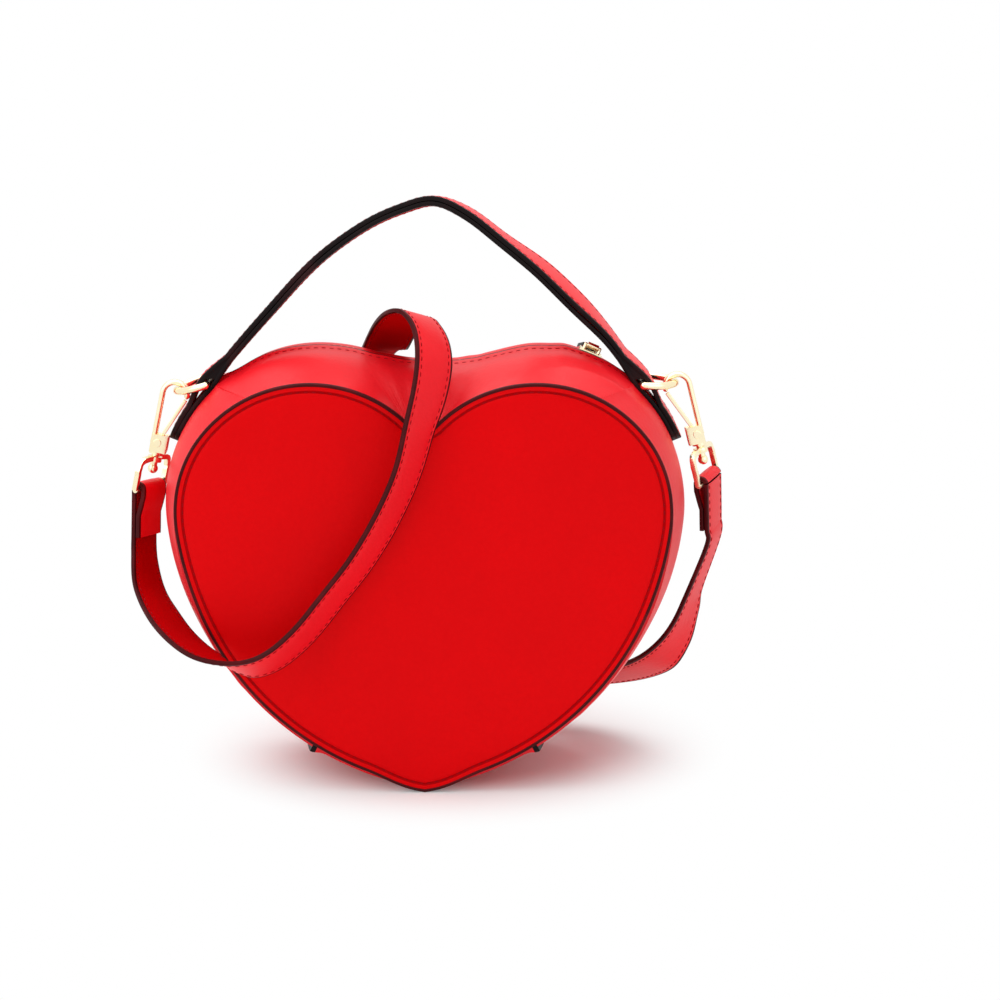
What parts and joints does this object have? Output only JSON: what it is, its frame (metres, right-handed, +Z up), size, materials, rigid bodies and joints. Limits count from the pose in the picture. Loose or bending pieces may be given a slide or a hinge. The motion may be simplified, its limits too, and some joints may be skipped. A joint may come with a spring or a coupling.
{
  "type": "heart shaped purse",
  "caption": "Heart shaped structured purse with a zip along its crest, a top handle on rings and a clipped shoulder strap.",
  "frame": {"origin": "the point of the heart, half-way through the bag's depth", "axes": "+X to the right as seen from the front, +Y from the front panel to the rear panel, +Z up"},
  "size_m": [0.2457, 0.1313, 0.2388],
  "materials": {
    "leather_panel": "smooth red leather, semi-gloss",
    "leather_gusset": "smooth red leather, soft sheen",
    "leather_strap": "red leather with sewn, dark painted edges",
    "edge_paint": "near black edge paint, satin",
    "lining": "dark red woven lining",
    "zip_tape": "red woven zip tape",
    "board": "pressed fibre board",
    "metal_gold": "pale gold, polished"
  },
  "bodies": {
    "root": {"front_panel": "leather_panel", "front_edge": "edge_paint", "front_board": "board", "front_seam_tape": "lining", "front_lining": "lining", "rear_panel": "leather_panel", "rear_edge": "edge_paint", "rear_board": "board", "rear_seam_tape": "lining", "rear_lining": "lining", "slip_pocket": "lining", "zip_strip_front": "leather_gusset", "zip_strip_rear": "leather_gusset", "side_gusset_left": "leather_gusset", "side_gusset_right": "leather_gusset", "base_gusset": "leather_gusset", "gusset_lining": "lining", "strip_lining_front": "lining", "strip_lining_rear": "lining", "zip_tape_front": "zip_tape", "zip_tape_rear": "zip_tape", "zip_teeth_front": "metal_gold", "zip_teeth_rear": "metal_gold", "zip_stops": "metal_gold", "tab_base_left": "leather_strap", "tab_base_right": "leather_strap", "tab_flap_left": "leather_strap", "tab_flap_right": "leather_strap", "strap_eye_left": "metal_gold", "strap_eye_right": "metal_gold", "strap_outer_layer": "leather_strap", "strap_inner_layer": "leather_strap", "strap_fold_left": "leather_strap", "strap_fold_right": "leather_strap"},
    "handle": {"handle_outer": "leather_strap", "handle_inner": "leather_strap"},
    "ring_left": {"ring_left": "metal_gold"},
    "ring_right": {"ring_right": "metal_gold"},
    "hook_left": {"hook_body_left": "metal_gold", "hook_pin_left": "metal_gold", "hook_spring_left": "metal_gold"},
    "hook_right": {"hook_body_right": "metal_gold", "hook_pin_right": "metal_gold", "hook_spring_right": "metal_gold"},
    "gate_left": {"gate_left": "metal_gold"},
    "gate_right": {"gate_right": "metal_gold"},
    "slider": {"zip_slider": "metal_gold"},
    "puller": {"zip_pull_link": "metal_gold", "zip_pull_tab": "leather_strap"}
  },
  "joints": [
    {"name": "handle_swing", "type": "hinge", "parent": "root", "child": "handle", "pos_m": [0, 0, 0.17796], "axis": [1, 0, 0], "range_deg": [-35, 45]},
    {"name": "ring_left_swing", "type": "hinge", "parent": "root", "child": "ring_left", "pos_m": [-0.08889, 0, 0.16256], "axis": [0, 1, 0], "range_deg": [-3, 0]},
    {"name": "ring_right_swing", "type": "hinge", "parent": "root", "child": "ring_right", "pos_m": [0.08889, 0, 0.16256], "axis": [0, 1, 0], "range_deg": [0, 3]},
    {"name": "hook_left_swivel", "type": "hinge", "parent": "root", "child": "hook_left", "pos_m": [-0.11018, 0, 0.13693], "axis": [0.2079, 0, 0.9781], "range_deg": [-8, 8]},
    {"name": "hook_right_swivel", "type": "hinge", "parent": "root", "child": "hook_right", "pos_m": [0.1115, 0, 0.1405], "axis": [-0.2419, 0, 0.9703], "range_deg": [-8, 8]},
    {"name": "gate_left_open", "type": "hinge", "parent": "hook_left", "child": "gate_left", "pos_m": [-0.11018, 0, 0.13693], "axis": [0, -1, 0], "range_deg": [0, 14], "stiffness_Nm_per_rad": 0.02, "springref_deg": -17.19},
    {"name": "gate_right_open", "type": "hinge", "parent": "hook_right", "child": "gate_right", "pos_m": [0.1115, 0, 0.1405], "axis": [0, 1, 0], "range_deg": [0, 14], "stiffness_Nm_per_rad": 0.02, "springref_deg": -17.19},
    {"name": "zip_travel", "type": "hinge", "parent": "root", "child": "slider", "pos_m": [0.042, 0, 0.114], "axis": [0, -1, 0], "range_deg": [0, 35]},
    {"name": "pull_lift", "type": "hinge", "parent": "slider", "child": "puller", "pos_m": [0.06857, 0, 0.17659], "axis": [0.9205, 0, -0.3907], "range_deg": [0, 25]}
  ]
}
